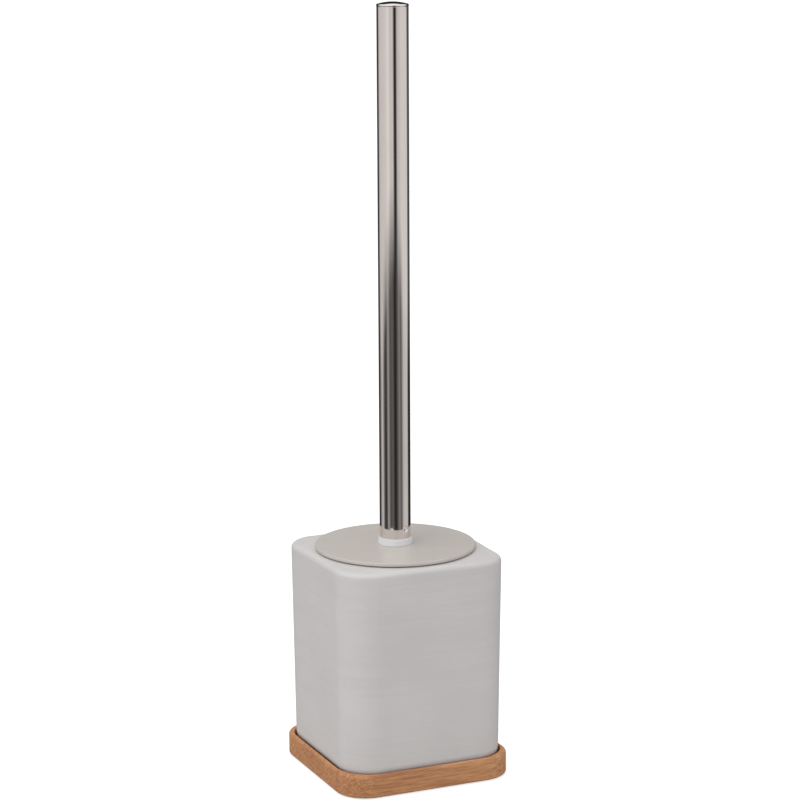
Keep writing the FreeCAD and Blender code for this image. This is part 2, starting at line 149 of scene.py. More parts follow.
def squared(half_width, corner_centre, level, roundness=0.0):
    """Rings of a rounded-square tube, one row for each half-width, corner centre and level.

    A ring is corner_centre * centres + (half_width - corner_centre) * outward. Roundness blends it,
    point by point at the same bearing, into a circle whose radius is the half-width.
    """
    centres, outward = square_path()
    width, middle = np.reshape(half_width, (-1, 1, 1)), np.reshape(corner_centre, (-1, 1, 1))
    square = middle * centres + (width - middle) * outward
    bearing = np.arctan2(square[..., 1], square[..., 0])
    circle = width * np.stack([np.cos(bearing), np.sin(bearing)], -1)
    blend = np.reshape(roundness + 0 * np.ravel(half_width), (-1, 1, 1))
    plan = square + blend * (circle - square)
    height = np.reshape(level, (-1, 1, 1)) + 0 * plan[..., :1]
    return np.concatenate([plan, height], -1)


def signed_volume(points, faces):
    """Six times the volume inside quads, positive when they face outwards."""
    a, b, c, d = (points[faces[:, k]] for k in range(4))
    halves = np.sum(a * np.cross(b, c), 1) + np.sum(a * np.cross(c, d), 1)
    return float(halves.sum())


def new_mesh(name, points, faces):
    """A mesh from points and faces that have to be sound."""
    mesh = bpy.data.meshes.new(name)
    mesh.from_pydata(points, [], faces)
    if mesh.validate():
        raise RuntimeError(f"{name} has broken faces")
    return mesh


def new_object(name, data):
    """An object in the scene that shows a mesh, a light or a camera."""
    made = bpy.data.objects.new(name, data)
    bpy.context.scene.collection.objects.link(made)
    return made


def piece_from(name, points, faces):
    """A mesh object from points and quads: doubles merged, faces outwards and shaded smooth."""
    points = np.asarray(points, float).reshape(-1, 3)
    if signed_volume(points, faces) < 0:
        faces = faces[:, ::-1]
    spots, number = np.unique(np.round(points, 8), axis=0, return_inverse=True)
    quads = number.reshape(-1)[faces]
    outlines = [list(dict.fromkeys(quad)) for quad in quads.tolist()]
    mesh = new_mesh(name, spots, [outline for outline in outlines if len(outline) > 2])
    mesh.polygons.foreach_set("use_smooth", np.ones(len(mesh.polygons), bool))
    piece = new_object(name, mesh)
    weighted = piece.modifiers.new("Even normals", "WEIGHTED_NORMAL")
    weighted.mode = "FACE_AREA"
    weighted.weight = 90
    weighted.keep_sharp = False
    return piece


def wrapped_faces(rows, columns):
    """Quads of a grid that closes on itself both ways."""
    i, j = np.meshgrid(np.arange(rows), np.arange(columns), indexing="ij")
    below, right = (i + 1) % rows, (j + 1) % columns
    corners = [i * columns + j, i * columns + right, below * columns + right, below * columns + j]
    return np.stack(corners, -1).reshape(-1, 4)


def closed_skin(name, points):
    """A piece from a grid of points that closes on itself both ways, such as a ring or a shell.

    Where the outline runs along the axis its points fall together, so the ends close as poles.
    """
    return piece_from(name, points, wrapped_faces(*points.shape[:2]))


def lathe(name, corners, around=160):
    """A closed piece turned about Z from outline corners (radius, level, corner radius)."""
    return closed_skin(name, turned(softened(corners), all_round(around)))


# ---- shader helpers


def feed(tree, sockets, inputs):
    """Fills sockets: inputs maps a socket's name or number to a value or to the socket it takes."""
    for key, value in inputs.items():
        if isinstance(value, bpy.types.NodeSocket):
            tree.links.new(value, sockets[key])
        else:
            sockets[key].default_value = value


def add(tree, kind, inputs=None, **settings):
    """A node with its settings and its filled inputs."""
    made = tree.nodes.new(kind)
    for name, value in settings.items():
        setattr(made, name, value)
    feed(tree, made.inputs, inputs or {})
    return made


def colour(red, green, blue):
    """An opaque colour."""
    return (red, green, blue, 1.0)


def dimmed(tone, share):
    """A tone with each of its parts multiplied by a share."""
    return tuple(share * part for part in tone)


def stretched(tree, coordinates, scale):
    """Coordinates times a scale for each axis."""
    node = add(tree, "ShaderNodeVectorMath", {0: coordinates, 1: scale}, operation="MULTIPLY")
    return node.outputs["Vector"]


def noise(tree, coordinates, scale, detail=3.0, roughness=0.55):
    """The height of a noise pattern, 0 to 1."""
    inputs = {"Vector": coordinates, "Scale": scale, "Detail": detail, "Roughness": roughness}
    return add(tree, "ShaderNodeTexNoise", inputs).outputs["Fac"]


def span(tree, value, from_low, from_high, to_low=0.0, to_high=1.0):
    """The value carried evenly from one range to another, and held at its ends."""
    inputs = {0: value, 1: from_low, 2: from_high, 3: to_low, 4: to_high}
    return add(tree, "ShaderNodeMapRange", inputs, clamp=True).outputs["Result"]


def maths(tree, operation, first, second=0.0):
    """The outcome of one sum on two values or sockets."""
    return add(tree, "ShaderNodeMath", {0: first, 1: second}, operation=operation).outputs[0]


def times(tree, first, second):
    """The product of two values or sockets."""
    return maths(tree, "MULTIPLY", first, second)


def mixed(tree, amount, first, second):
    """Two colours mixed by an amount."""
    inputs = {0: amount, 6: first, 7: second}
    return add(tree, "ShaderNodeMix", inputs, data_type="RGBA").outputs[2]


def new_group(name, takes, gives):
    """A shader node group that takes a position and the named defaults, and gives named outputs.

    A single number makes a value socket and four numbers a colour; of the outputs only Color is
    a colour.
    """
    tree = bpy.data.node_groups.new(name, "ShaderNodeTree")

    def socket(label, way, kind):
        return tree.interface.new_socket(label, in_out=way, socket_type="NodeSocket" + kind)

    socket("Position", "INPUT", "Vector")
    for label, default in takes.items():
        kind = "Float" if isinstance(default, float) else "Color"
        socket(label, "INPUT", kind).default_value = default
    for label in gives:
        socket(label, "OUTPUT", "Color" if label == "Color" else "Float")
    inside = tree.nodes.new("NodeGroupInput").outputs
    outside = tree.nodes.new("NodeGroupOutput").inputs
    return tree, inside, outside


def grain_group():
    """Grain along X in a board: long fibres, fine streaks and short dark pores."""
    tree, inside, outside = new_group(
        "Wood grain",
        {"Light wood": colour(0.5, 0.3, 0.17), "Dark wood": colour(0.25, 0.12, 0.06)},
        ["Color", "Roughness", "Height"],
    )
    at = inside["Position"]
    # Each noise has its cells per metre along X and across it: few along, many across.
    drift = noise(tree, stretched(tree, at, (9, 30, 30)), 1.0, 2.0)
    strands = noise(tree, stretched(tree, at, (30, 700, 800)), 1.0, 4.0, 0.6)
    fibres = noise(tree, stretched(tree, at, (100, 1900, 2100)), 1.0, 3.0, 0.65)
    pores = noise(tree, stretched(tree, at, (260, 2600, 3400)), 1.0, 1.0)
    streaks = times(tree, strands, 0.5)
    blend = maths(tree, "ADD", streaks, times(tree, fibres, 0.42))
    tone = maths(tree, "ADD", blend, times(tree, drift, 0.25))
    tone = span(tree, tone, 0.49, 0.68)
    wood = mixed(tree, tone, inside["Dark wood"], inside["Light wood"])
    pits = span(tree, pores, 0.64, 0.72)
    wood = mixed(tree, times(tree, pits, 0.4), wood, inside["Dark wood"])
    roughness = span(tree, tone, 0, 1, 0.62, 0.48)
    dents = maths(tree, "SUBTRACT", blend, times(tree, pits, 0.5))
    feed(tree, outside, {"Color": wood, "Roughness": roughness, "Height": dents})
    return tree


def mottle_group():
    """Uneven tone of a hand-finished or moulded surface: clouds, a fine stipple and specks."""
    tree, inside, outside = new_group(
        "Mottle",
        {
            "Base": colour(0.8, 0.8, 0.8),
            "Tint": colour(0.7, 0.68, 0.66),
            "Cloud size": 40.0,
            "Stipple size": 1500.0,
            "Speck share": 0.1,
            "Roughness": 0.5,
        },
        ["Color", "Roughness", "Height"],
    )
    at = inside["Position"]
    clouds = noise(tree, at, inside["Cloud size"], 3.0)
    stipple = noise(tree, at, inside["Stipple size"], 2.0)
    specks = span(tree, noise(tree, at, 700.0, 1.0), 0.7, 0.76)
    tinted = mixed(tree, span(tree, clouds, 0.35, 0.7), inside["Base"], inside["Tint"])
    share = times(tree, specks, inside["Speck share"])
    specked = mixed(tree, share, tinted, inside["Tint"])
    lift = times(tree, maths(tree, "SUBTRACT", clouds, 0.5), 0.18)
    roughness = maths(tree, "ADD", inside["Roughness"], lift)
    height = maths(tree, "ADD", times(tree, stipple, 0.5), clouds)
    feed(tree, outside, {"Color": specked, "Roughness": roughness, "Height": height})
    return tree


def streak_group():
    """Faint level streaks, as a wiped glaze keeps: noise drawn out round the wall."""
    tree, inside, outside = new_group(
        "Wiped streaks",
        {"Color": colour(0.8, 0.8, 0.8), "Streak colour": colour(0.7, 0.7, 0.7), "Share": 0.3},
        ["Color", "Height"],
    )
    at = inside["Position"]
    broad = noise(tree, stretched(tree, at, (14, 14, 260)), 1.0, 3.0)
    fine = noise(tree, stretched(tree, at, (30, 30, 1300)), 1.0, 2.0)
    both = times(tree, maths(tree, "ADD", broad, fine), 0.5)
    cover = times(tree, span(tree, both, 0.42, 0.66), inside["Share"])
    wiped = mixed(tree, cover, inside["Color"], inside["Streak colour"])
    feed(tree, outside, {"Color": wiped, "Height": both})
    return tree


def dust_group():
    """A trace of dust on what faces up: the colour warms and greys there by a broken amount."""
    takes = {"Color": colour(0.8, 0.8, 0.8), "Amount": 0.1}
    tree, inside, outside = new_group("Settled dust", takes, ["Color"])
    normal = add(tree, "ShaderNodeNewGeometry").outputs["Normal"]
    upward = add(tree, "ShaderNodeSeparateXYZ", {0: normal}).outputs["Z"]
    broken = span(tree, noise(tree, inside["Position"], 260.0, 4.0), 0.4, 0.7)
    cover = times(tree, span(tree, upward, 0.4, 0.95), broken)
    cover = times(tree, cover, inside["Amount"])
    dusted = mixed(tree, cover, inside["Color"], colour(0.46, 0.42, 0.38))
    feed(tree, outside, {"Color": dusted})
    return tree


def polish_group():
    """Marks on polished metal: a faint film, and very fine lines left along Z by the polishing."""
    takes = {"Film": 0.04, "Base roughness": 0.05}
    tree, inside, outside = new_group("Polish marks", takes, ["Roughness", "Height", "Mask"])
    at = inside["Position"]
    lines = noise(tree, stretched(tree, at, (2600, 2600, 40)), 1.0, 3.0)
    film = span(tree, noise(tree, stretched(tree, at, (90, 90, 30)), 1.0, 4.0), 0.45, 0.75)
    roughness = maths(tree, "ADD", inside["Base roughness"], times(tree, film, inside["Film"]))
    feed(tree, outside, {"Roughness": roughness, "Height": lines, "Mask": film})
    return tree


def shared_group(name):
    """The shader node group of that name, built the first time it is asked for."""
    makers = {
        "Wood grain": grain_group,
        "Mottle": mottle_group,
        "Settled dust": dust_group,
        "Wiped streaks": streak_group,
        "Polish marks": polish_group,
    }
    return bpy.data.node_groups.get(name) or makers[name]()


def placed_group(tree, name, inputs):
    """A node that holds a shared group, with its inputs set."""
    return add(tree, "ShaderNodeGroup", inputs, node_tree=shared_group(name))


def new_material(name, **sockets):
    """A material, its Principled shader with plain socket values, and the position on the piece."""
    material = bpy.data.materials.get(name)
    if material:
        bpy.data.materials.remove(material)
    material = bpy.data.materials.new(name)
    material.use_nodes = True
    tree = material.node_tree
    shader = tree.nodes["Principled BSDF"]
    for socket, value in sockets.items():
        shader.inputs[socket.replace("_", " ")].default_value = value
    position = add(tree, "ShaderNodeTexCoord").outputs["Object"]
    return material, tree, shader, position


def bumped(tree, shader, height, distance):
    """Feeds a height to the shader's normal through a Bump node, with its depth in metres."""
    bump = add(tree, "ShaderNodeBump", {"Height": height, "Distance": distance})
    tree.links.new(bump.outputs["Normal"], shader.inputs["Normal"])


def dressed(tree, shader, at, surface, dust, depth):
    """Puts a surface's colour, roughness and height on the shader, with dust on its colour."""
    inputs = {"Position": at, "Color": surface["Color"], "Amount": dust}
    dusted = placed_group(tree, "Settled dust", inputs).outputs["Color"]
    feed(tree, shader.inputs, {"Base Color": dusted, "Roughness": surface["Roughness"]})
    bumped(tree, shader, surface["Height"], depth)


def bamboo_finish(light, dark):
    """Oiled bamboo: straight grain along X, fine pores, and a satin surface."""
    coat = {"Coat_Weight": 0.06, "Coat_Roughness": 0.35}
    material, tree, shader, at = new_material("Oiled bamboo", **coat)
    inputs = {"Position": at, "Light wood": colour(*light), "Dark wood": colour(*dark)}
    grain = placed_group(tree, "Wood grain", inputs).outputs
    dressed(tree, shader, at, grain, dust=0.05, depth=0.00006)
    return material


def mottled_finish(name, base, tint, roughness, cloud_size, stipple_size, specks, dust, depth):
    """A matt or satin surface with an uneven tone, a fine stipple and a trace of dust."""
    material, tree, shader, at = new_material(name)
    inputs = {
        "Position": at,
        "Base": colour(*base),
        "Tint": colour(*tint),
        "Cloud size": cloud_size,
        "Stipple size": stipple_size,
        "Speck share": specks,
        "Roughness": roughness,
    }
    mottle = placed_group(tree, "Mottle", inputs).outputs
    dressed(tree, shader, at, mottle, dust, depth)
    return material


def steel_finish(tone):
    """Mirror-polished stainless steel with a faint film and fine lengthwise polishing lines."""
    material, tree, shader, at = new_material("Polished stainless steel", Metallic=1.0)
    inputs = {"Position": at, "Film": 0.05, "Base roughness": 0.045}
    marks = placed_group(tree, "Polish marks", inputs).outputs
    tint = mixed(tree, marks["Mask"], colour(*tone), colour(*dimmed(tone, 0.93)))
    feed(tree, shader.inputs, {"Base Color": tint, "Roughness": marks["Roughness"]})
    bumped(tree, shader, marks["Height"], 0.0000012)
    return material


def filament_finish(tone):
    """White nylon filaments with painted light: darker roots as painted shade and paler tips as a
    painted glow of light through the nylon.
    """
    material, tree, shader, at = new_material("White nylon filaments", Roughness=0.42)
    along = add(tree, "ShaderNodeAttribute", attribute_name="along").outputs["Fac"]
    # Painted shade and glow: the roots take 0.8 of the tone and the tips the full tone, as if light
    # shone through the tips.
    root = colour(*dimmed(tone, 0.8))
    shade = mixed(tree, span(tree, along, 0.0, 0.7), root, colour(*tone))
    patches = span(tree, noise(tree, at, 320.0, 3.0), 0.35, 0.7, 0.0, 0.16)
    shade = mixed(tree, patches, shade, colour(0.66, 0.67, 0.66))
    tree.links.new(shade, shader.inputs["Base Color"])
    return material


def clothe(piece, material):
    """Gives a piece its one material."""
    piece.data.materials.clear()
    piece.data.materials.append(material)


def finish_piece(piece, material, body, slot, *nodes):
    """Gives a piece its material and body, and lets it stand for CAD nodes."""
    clothe(piece, material)
    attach(piece, body)
    if nodes:
        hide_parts(*nodes)


def white_plastic():
    """The bluish white moulded plastic of the neck collar and the brush core."""
    material = bpy.data.materials.get("White moulded plastic")
    return material or mottled_finish(
        "White moulded plastic", base=(0.84, 0.84, 0.87), tint=(0.80, 0.81, 0.84),
        roughness=0.3, cloud_size=60.0, stipple_size=2600.0, specks=0.05, dust=0.02,
        depth=0.00002,
    )


def polished_steel():
    """The steel of the tube, its cap and its lock pin."""
    tone = tuple(bpy.context.scene.brush_handle.steel_tone)
    return bpy.data.materials.get("Polished stainless steel") or steel_finish(tone)


# ---- settings


def length_setting(name, description, default, lowest=0.0, highest=10.0):
    """A length in metres."""
    limits = {"min": lowest, "max": highest, "unit": "LENGTH"}
    return bpy.props.FloatProperty(name=name, description=description, default=default, **limits)


def angle_setting(name, description, degrees):
    """An angle, with its default in degrees."""
    default = math.radians(degrees)
    return bpy.props.FloatProperty(
        name=name, description=description, default=default, subtype="ANGLE"
    )


def colour_setting(name, description, default):
    """A colour without its opacity."""
    return bpy.props.FloatVectorProperty(
        name=name, description=description, default=default, subtype="COLOR", size=3
    )


class TraySettings(bpy.types.PropertyGroup):
    edge_round: length_setting(
        "Top edge rounding", "Radius of the tray's top outer edge", 1.6 * MM, 0.5 * MM, 1.8 * MM
    )
    light_wood: colour_setting("Light wood", "Colour of the pale fibres", (0.74, 0.374, 0.168))
    dark_wood: colour_setting(
        "Dark wood", "Colour of the dark streaks and pores", (0.44, 0.18, 0.075)
    )


class PotSettings(bpy.types.PropertyGroup):
    rim_dip: length_setting(
        "Rim dip", "How far the rim falls at its lowest corner", 1.5 * MM, 0.0, 2.5 * MM
    )
    wall_hollow: length_setting(
        "Wall hollow", "How far the walls sink in between their corners", 0.25 * MM, 0.0, 1.0 * MM
    )
    glaze: colour_setting("Glaze", "Colour of the matt white glaze", (0.742, 0.72, 0.713))


class LidSettings(bpy.types.PropertyGroup):
    tone: colour_setting("Lid colour", "Colour of the warm grey lid", (0.64, 0.595, 0.557))


class HandleSettings(bpy.types.PropertyGroup):
    dent_depth: length_setting(
        "Dent depth", "Depth of the small dent round the lock pin", 0.45 * MM, 0.0, 0.6 * MM
    )
    steel_tone: colour_setting(
        "Steel colour", "Reflection colour of the polished steel", (0.80, 0.745, 0.72)
    )


class HeadSettings(bpy.types.PropertyGroup):
    filaments: bpy.props.IntProperty(
        name="Filaments",
        description="Number of filaments in each tuft",
        default=38,
        min=6,
        max=80,
    )
    thickness: length_setting(
        "Filament thickness", "Thickness of one filament", 0.3 * MM, 0.1 * MM, 0.6 * MM
    )
    thread_pitch: length_setting(
        "Thread pitch", "Rise of the stud's thread in one turn", 3.0 * MM, 1.0 * MM, 5.0 * MM
    )


class StageSettings(bpy.types.PropertyGroup):
    bearing: angle_setting(
        "Camera bearing", "How far the camera stands to the left of the tray's front side", 23.81
    )
    distance: length_setting(
        "Camera distance", "Level distance from the handle to the camera", 1.3047
    )
    height: length_setting("Camera height", "Height of the camera above the floor", 0.4644)
    tilt: angle_setting("Camera tilt", "How far the camera looks down", 12.2)
    roll: angle_setting(
        "Camera roll", "How far the camera is turned clockwise about its own line of sight", 0.3
    )
    soft_light: bpy.props.FloatProperty(
        name="Soft light",
        description="Brightness of the studio's even light",
        default=0.68,
        min=0.0,
    )


# ---- tray


class BRUSH_OT_tray(bpy.types.Operator):
    """Build the bamboo tray, with its recess for the pot, and finish the pads under it"""

    bl_idname = "brush.tray"
    bl_label = "Bamboo tray"

    def execute(self, context):
        settings = context.scene.brush_tray
        half = high("bamboo_tray", 0)
        bottom, top = low("bamboo_tray"), high("bamboo_tray")
        floor = low("ceramic_pot")
        recess = 45.0 * MM
        corners = [
            (0, bottom, 0),
            (half, bottom, 1.0 * MM),
            (half, top, settings.edge_round),
            (recess, top, 0.3 * MM),
            (recess, floor, 0.5 * MM),
            (0, floor, 0),
        ]
        outline = softened(corners)
        width, level = outline[:, 0], outline[:, 1]
        outer_corner, inner_corner = 31.3 * MM, 26.8 * MM
        centre = np.where(width > recess + 0.4 * MM, outer_corner, inner_corner)
        under = level < bottom + 1.0 * MM
        centre = np.where(under, outer_corner, centre)
        centre = np.minimum(centre, 0.66 * width)
        tray = closed_skin("bamboo_board", squared(width, centre, level))
        light, dark = tuple(settings.light_wood), tuple(settings.dark_wood)
        finish_piece(tray, bamboo_finish(light, dark), "tray", "bamboo", "bamboo_tray")
        foam = mottled_finish(
            "Foam pad", base=(0.05, 0.05, 0.052), tint=(0.03, 0.03, 0.03), roughness=0.85,
            cloud_size=300.0, stipple_size=4000.0, specks=0.2, dust=0.0, depth=0.00008,
        )
        clothe(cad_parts["tray_pads"], foam)
        return {"FINISHED"}


# ---- pot


def rim_sink(bearing):
    """How deep the hand-finished rim lies at a bearing, from 0 at the corner over -X and -Y.

    Half of one plus a cosine gives the fall to the corner opposite, a cosine of four turns lowers
    every corner a little, and three quick sines of unlike pace add the ripple of a wiped edge.
    """
    fall = 0.5 + 0.5 * np.cos(bearing - math.pi / 4)
    corners = 0.12 * (1 - np.cos(4 * bearing)) * fall
    ripple = 0.05 * np.sin(9 * bearing + 2.0) + 0.035 * np.sin(16 * bearing + 0.6)
    ripple += 0.025 * np.sin(27 * bearing + 1.3)
    return np.clip(fall + corners + ripple, 0, None)


class BRUSH_OT_pot(bpy.types.Operator):
    """Build the ceramic pot: square outside and in, round at the mouth, with a gently uneven rim"""

    bl_idname = "brush.pot"
    bl_label = "Ceramic pot"

    def execute(self, context):
        settings = context.scene.brush_pot
        base, top = low("ceramic_pot"), high("ceramic_pot")
        foot_half, top_half = 44.0 * MM, 45.5 * MM
        wall, mouth, shoulder = 5.2 * MM, 38.0 * MM, 6.0 * MM
        foot_round, rim_round, floor_round = 5.8 * MM, 2.5 * MM, 4.0 * MM
        ring, ring_tall = foot_half - 7.0 * MM, 1.6 * MM
        floor, ceiling = base + 7.0 * MM, top - shoulder

        def outside_half(z):
            return foot_half + (top_half - foot_half) * (z - base) / (top - base)

        def inside_half(z):
            return outside_half(z) - wall

        outer_levels = np.linspace(base + 6.5 * MM, top - 4.5 * MM, 15)
        inner_levels = np.linspace(ceiling - 6 * MM, floor + 6 * MM, 9)
        corners = [
            (0, base + ring_tall, 0),
            (ring, base + ring_tall, 0.4 * MM),
            (ring, base, 0.6 * MM),
            (foot_half, base, foot_round),
            *[(outside_half(z), z, 0) for z in outer_levels],
            (top_half, top, rim_round),
            (mouth + 3.6 * MM, top, 0),
            (mouth, top, 1.5 * MM),
            (mouth, ceiling, 0.4 * MM),
            (inside_half(ceiling), ceiling, 0.3 * MM),
            *[(inside_half(z), z, 0) for z in inner_levels],
            (inside_half(floor), floor, floor_round),
            (0, floor, 0),
        ]
        outline = softened(corners)
        width, level = outline[:, 0], outline[:, 1]
        # The corners' arcs keep one centre, which slides in where the surface nears the middle.
        corner_centre = 26.8 * MM
        centre = np.minimum(corner_centre, 0.66 * width)
        # The round mouth opens into the square rim over a wide band on top and a narrow one below.
        on_top = level > top - 3 * MM
        band_start = mouth + np.where(on_top, 1.6, 0.5) * MM
        band_end = mouth + np.where(on_top, 3.4, 1.8) * MM
        near_mouth = 1 - smooth_step(band_start, band_end, width)
        roundness = np.where(level > ceiling - 1.5 * MM, near_mouth, 0)
        points = squared(width, centre, level, roundness)
        bearing = np.arctan2(points[..., 1], points[..., 0])
        height = points[..., 2]
        # The rim falls away outside the seat of the lid, and fades out over the top of the wall.
        reach = np.hypot(points[..., 0], points[..., 1])
        share = smooth_step(40 * MM, 50 * MM, reach) * smooth_step(top - 30 * MM, top, height)
        points[..., 2] -= settings.rim_dip * rim_sink(bearing) * share
        # Each wall sinks in a little between its corners, most at mid height.
        belly = np.sin(np.pi * np.clip((height - base) / (top - base), 0, 1))
        hollow = settings.wall_hollow * belly * (0.5 + 0.5 * np.cos(4 * bearing))
        outside = smooth_step(foot_half - 3 * MM, foot_half - 1 * MM, np.abs(width))[:, None]
        points[..., :2] *= (1 - outside * hollow / np.maximum(reach, MM))[..., None]
        pot = closed_skin("pot_shell", points)
        glaze = self.glaze(settings)
        finish_piece(pot, glaze, "pot", "ceramic", "ceramic_pot")
        return {"FINISHED"}

    def glaze(self, settings):
        """Matt white glaze: a mottled tone with faint level streaks in colour and in surface."""
        tone = tuple(settings.glaze)
        material = mottled_finish(
            "Matt white glaze", base=tone, tint=dimmed(tone, 0.94), roughness=0.5,
            cloud_size=26.0, stipple_size=1100.0, specks=0.12, dust=0.04, depth=0.00005,
        )
        tree = material.node_tree
        shader = tree.nodes["Principled BSDF"]
        plain = shader.inputs["Base Color"].links[0].from_socket
        moulded = shader.inputs["Normal"].links[0].from_socket
        position = add(tree, "ShaderNodeTexCoord").outputs["Object"]
        inputs = {"Position": position, "Color": plain, "Share": 0.35}
        inputs["Streak colour"] = colour(*dimmed(tone, 0.86))
        streaks = placed_group(tree, "Wiped streaks", inputs).outputs
        ripple = {"Height": streaks["Height"], "Distance": 0.00012, "Normal": moulded}
        wiped = add(tree, "ShaderNodeBump", ripple).outputs["Normal"]
        feed(tree, shader.inputs, {"Base Color": streaks["Color"], "Normal": wiped})
        return material


# ---- lid and collar


class BRUSH_OT_lid(bpy.types.Operator):
    """Build the flat lid with its centring ring, and the white collar on top of it"""

    bl_idname = "brush.lid"
    bl_label = "Lid and neck collar"

    def execute(self, context):
        settings = context.scene.brush_lid
        edge = high("lid_disc", 0)
        top, ring_base = high("lid_disc"), low("lid_disc")
        under = top - 2.3 * MM
        ring_out, ring_in, bore = 37.5 * MM, 35.9 * MM, 5.1 * MM
        lid = lathe(
            "lid_plate",
            [
                (bore, under, 0.2 * MM),
                (ring_in, under, 0.5 * MM),
                (ring_in, ring_base, 0.5 * MM),
                (ring_out, ring_base, 0.5 * MM),
                (ring_out, under, 0.4 * MM),
                (edge - 3.2 * MM, under, 0.1 * MM),
                (edge - 3.0 * MM, under + 0.5 * MM, 0.1 * MM),
                (edge, under + 0.6 * MM, 0.3 * MM),
                (edge, top, 0.7 * MM),
                (bore, top, 0.2 * MM),
            ],
            around=256,
        )
        tone = tuple(settings.tone)
        satin = mottled_finish(
            "Satin warm grey plastic", base=tone, tint=dimmed(tone, 0.95), roughness=0.42,
            cloud_size=50.0, stipple_size=2400.0, specks=0.06, dust=0.06, depth=0.00003,
        )
        finish_piece(lid, satin, "lid", "lid_plastic", "lid_disc")

        base, crown = low("neck_collar"), high("neck_collar")
        collar = lathe(
            "collar_ring",
            [
                (bore, base, 0.1 * MM),
                (8.94 * MM, base, 0.3 * MM),
                (8.6 * MM, crown, 0.5 * MM),
                (bore, crown, 0.1 * MM),
            ],
        )
        finish_piece(collar, white_plastic(), "collar", "white_plastic", "neck_collar")
        return {"FINISHED"}


# ---- handle


PIN_BEARING = math.radians(-70.0)


def near(values, centre, reach, count):
    """Values with an even cluster of extra ones round a centre, in order."""
    return np.unique(np.concatenate([values, np.linspace(centre - reach, centre + reach, count)]))


class BRUSH_OT_handle(bpy.types.Operator):
    """Build the steel tube with its dent and lock pin, its domed cap, and the plug inside it"""

    bl_idname = "brush.handle"
    bl_label = "Handle"

    def execute(self, context):
        settings = context.scene.brush_handle
        base, top = low("handle_tube"), high("handle_tube")
        radius, bore = 8.0 * MM, 7.2 * MM
        pin_level = 0.5 * (low("lock_pin") + high("lock_pin"))
        levels = near(np.linspace(base + 1 * MM, top - 1 * MM, 24), pin_level, 2.6 * MM, 53)
        levels = levels[levels > base + 0.5 * MM]
        outline = softened(
            [
                (bore, base, 0.1 * MM),
                (radius, base, 0.25 * MM),
                *[(radius, z, 0) for z in levels],
                (radius, top, 0.15 * MM),
                (bore, top, 0.1 * MM),
            ]
        )
        around = np.linspace(-math.pi, math.pi, 240, endpoint=False)
        bearings = near(around, PIN_BEARING, 0.33, 53)
        points = turned(outline, bearings)
        # The dent sinks by a bell curve of the distance from the pin, measured round the tube.
        across = radius * (bearings - PIN_BEARING)[None, :]
        upward = points[..., 2] - pin_level
        away = np.hypot(across, upward) / (1.3 * MM)
        depth = settings.dent_depth * np.exp(-(away**4))
        outer = (outline[:, 0] > 0.5 * (radius + bore))[:, None]
        scale = 1 - outer * depth / radius
        points[..., :2] *= scale[..., None]
        tube = closed_skin("handle_shaft", points)
        steel = polished_steel()
        finish_piece(tube, steel, "handle", "polished_steel", "handle_tube")

        brim, crown = 8.12 * MM, high("handle_cap")
        rise = crown - (top + 1.0 * MM)
        ball = (brim**2 + rise**2) / (2 * rise)
        spread = np.linspace(brim - 0.6 * MM, 0, 16)
        dome = [(r, crown - ball + math.sqrt(ball**2 - r**2), 0) for r in spread]
        skirt_base, skirt = low("handle_cap"), 7.1 * MM
        cap = lathe(
            "cap_dome",
            [
                (0, top - 0.2 * MM, 0),
                (skirt - 1.4 * MM, top - 0.2 * MM, 0.4 * MM),
                (skirt - 1.4 * MM, skirt_base, 0.3 * MM),
                (skirt, skirt_base, 0.4 * MM),
                (skirt, top, 0.05 * MM),
                (brim, top, 0.3 * MM),
                (brim, top + 1.0 * MM, 0.6 * MM),
                *dome,
            ],
        )
        finish_piece(cap, steel, "handle", "polished_steel", "handle_cap")

        self.pin(steel, pin_level)
        plug = mottled_finish(
            "Plug plastic", base=(0.62, 0.62, 0.6), tint=(0.55, 0.55, 0.54), roughness=0.5,
            cloud_size=80.0, stipple_size=2600.0, specks=0.1, dust=0.0, depth=0.00003,
        )
        clothe(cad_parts["thread_plug"], plug)
        return {"FINISHED"}

    def pin(self, steel, level):
        """The lock pin: a short rod with a domed head, laid along its bearing."""
        size, inner, edge, crown = 0.72 * MM, 6.2 * MM, 8.08 * MM, 8.12 * MM
        outline = softened([(0, inner, 0), (size, inner, 0), (size, edge, 0.5 * MM), (0, crown, 0)])
        points = turned(outline, all_round(32))
        outward = np.array([math.cos(PIN_BEARING), math.sin(PIN_BEARING), 0.0])
        across = np.array([-outward[1], outward[0], 0.0])
        up = np.array([0.0, 0.0, 1.0])
        placed = points[..., :1] * across + points[..., 1:2] * up + points[..., 2:] * outward
        placed[..., 2] += level
        pin = closed_skin("pin_head", placed)
        finish_piece(pin, steel, "handle", "polished_steel", "lock_pin")


# ---- brush head


def thread_wave(phase):
    """A rounded thread form, 0 at the root and 1 at the crest, once in each whole phase."""
    return smooth_step(0.15, 0.42, np.abs((phase % 1.0) - 0.5))


